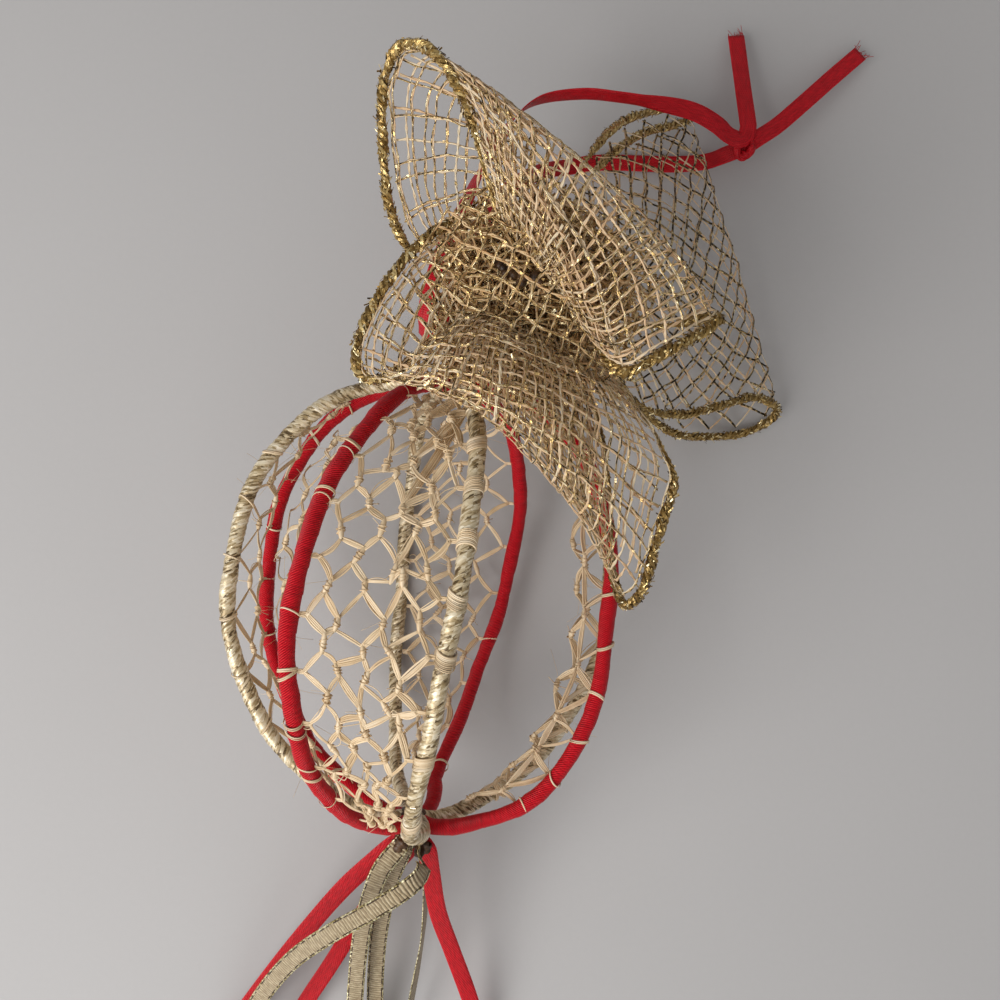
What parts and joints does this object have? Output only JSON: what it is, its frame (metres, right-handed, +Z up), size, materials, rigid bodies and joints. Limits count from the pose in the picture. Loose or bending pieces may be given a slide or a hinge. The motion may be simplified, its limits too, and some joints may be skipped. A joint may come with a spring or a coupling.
{
  "type": "straw_ornament",
  "caption": "Handmade ball ornament of thread-wrapped wire ribs with knotted straw net, an open-mesh gold bow, a ribbon hanging loop and loose ribbon tails",
  "frame": {"origin": "bottom centre of the box round the ball and bow, on the surface the ornament lies on", "axes": "Z up, away from the surface; +Y runs from the ribbon tails past the ball to the bow; +X is to the right of the bow seen from above"},
  "size_m": [0.1288, 0.201, 0.0625],
  "materials": {
    "red_thread": "fine red satin thread wound close round wire",
    "gold_thread": "pale gold metallic thread wound round wire",
    "straw_fibre": "flat pale straw fibres, dry and slightly glossy",
    "gold_mesh": "open mesh of straw and metallic gold threads",
    "gold_braid": "tinsel-like metallic gold braid",
    "red_satin": "narrow red satin ribbon",
    "gold_ribbon": "narrow ribbed gold ribbon with metallic edges",
    "brown_glue": "dark brown hardened glue over thread"
  },
  "bodies": {
    "root": {"binding_bottom": "brown_glue", "binding_top": "brown_glue", "bow_braid_lower_left": "gold_braid", "bow_braid_lower_right": "gold_braid", "bow_braid_right_left": "gold_braid", "bow_braid_right_right": "gold_braid", "bow_braid_upper_left": "gold_braid", "bow_braid_upper_right": "gold_braid", "bow_loop_lower": "gold_mesh", "bow_loop_right": "gold_mesh", "bow_loop_upper": "gold_mesh", "bow_neck": "brown_glue", "hanging_knot": "red_satin", "hanging_ribbon_lower": "red_satin", "hanging_ribbon_upper": "red_satin", "hanging_tail_long": "red_satin", "hanging_tail_short": "red_satin", "net_back": "straw_fibre", "net_front": "straw_fibre", "net_left": "straw_fibre", "net_left_inner": "straw_fibre", "net_right": "straw_fibre", "rib_back_gold": "gold_thread", "rib_back_left_red": "red_thread", "rib_back_right_red": "red_thread", "rib_front_gold": "gold_thread", "rib_front_left_red": "red_thread", "rib_left_gold": "gold_thread", "rib_lower_right_gold": "gold_thread", "rib_right_red": "red_thread", "tail_gold_curled": "gold_ribbon", "tail_gold_lower": "gold_ribbon", "tail_gold_right": "gold_ribbon", "tail_gold_upper": "gold_ribbon", "tail_red_left": "red_satin", "tail_red_middle": "red_satin", "tail_red_right": "red_satin"}
  },
  "joints": []
}
